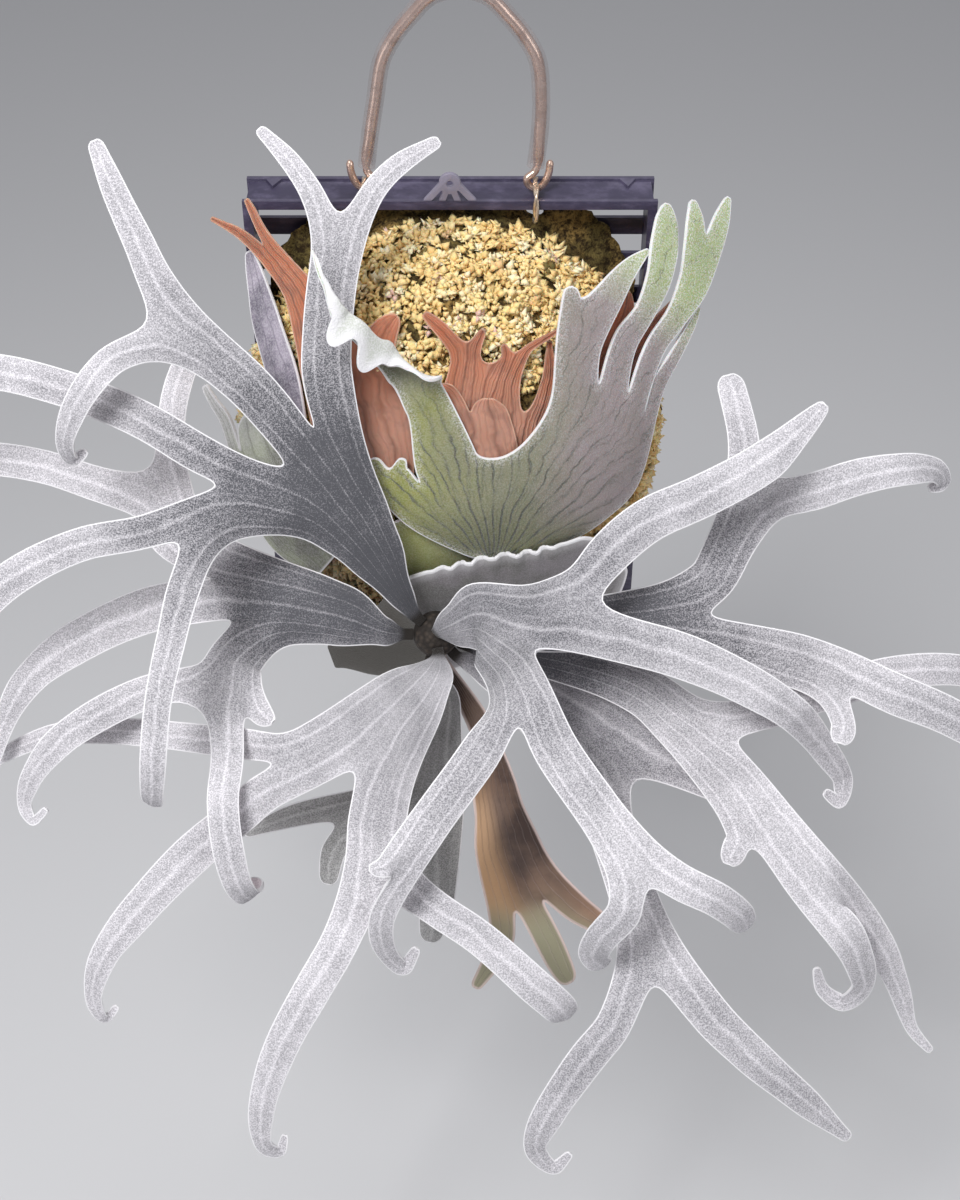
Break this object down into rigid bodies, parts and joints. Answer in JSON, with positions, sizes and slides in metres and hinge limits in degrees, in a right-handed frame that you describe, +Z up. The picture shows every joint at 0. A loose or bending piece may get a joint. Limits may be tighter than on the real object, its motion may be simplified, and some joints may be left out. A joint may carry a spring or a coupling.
{
  "type": "staghorn fern",
  "caption": "Silver staghorn fern with long forked fronds and standing shield leaves, grown over a moss mound on a flat plastic plant board that hangs from a wire hanger.",
  "frame": {"origin": "the point it hangs from: the underside of the hanger's arch, at its highest place", "axes": "+Z up; the board's front, with the plant on it, faces -Y; +X is to the right when seen from the front"},
  "size_m": [0.408, 0.2527, 0.3497],
  "materials": {
    "black_plastic": "moulded, faintly purple-grey where light grazes it",
    "copper_wire": "copper-coloured garden wire, polished",
    "clear_vinyl": "clear flexible tube over the wire",
    "moss": "dried yellow-brown sphagnum moss",
    "rhizome": "brown scaly growing point",
    "brown_shield": "papery dead shield leaf",
    "lilac_shield": "grey-lilac drying shield leaf",
    "green_shield": "young green shield leaf, felted at its margin",
    "silver_frond": "grey-lilac leaf under dense white felt",
    "grey_frond": "older leaf, thin felt",
    "dying_frond": "browning leaf"
  },
  "bodies": {
    "root": {"board": "black_plastic", "hanger_wire": "copper_wire", "hanger_sleeve": "clear_vinyl", "tie_left": "copper_wire", "tie_right": "copper_wire", "moss": "moss", "rhizome": "rhizome", "shield_brown_middle": "brown_shield", "shield_brown_front": "brown_shield", "shield_brown_left": "brown_shield", "shield_brown_right": "brown_shield", "shield_left": "lilac_shield", "shield_lilac": "lilac_shield", "shield_smooth": "green_shield", "shield_green": "green_shield", "shield_collar": "lilac_shield", "frond_upper_left": "silver_frond", "frond_left": "silver_frond", "frond_lower_left": "silver_frond", "frond_front": "silver_frond", "frond_right": "silver_frond", "frond_lower_right": "silver_frond", "frond_bottom_right": "silver_frond", "frond_hanging": "grey_frond", "frond_dying": "dying_frond"}
  },
  "joints": []
}
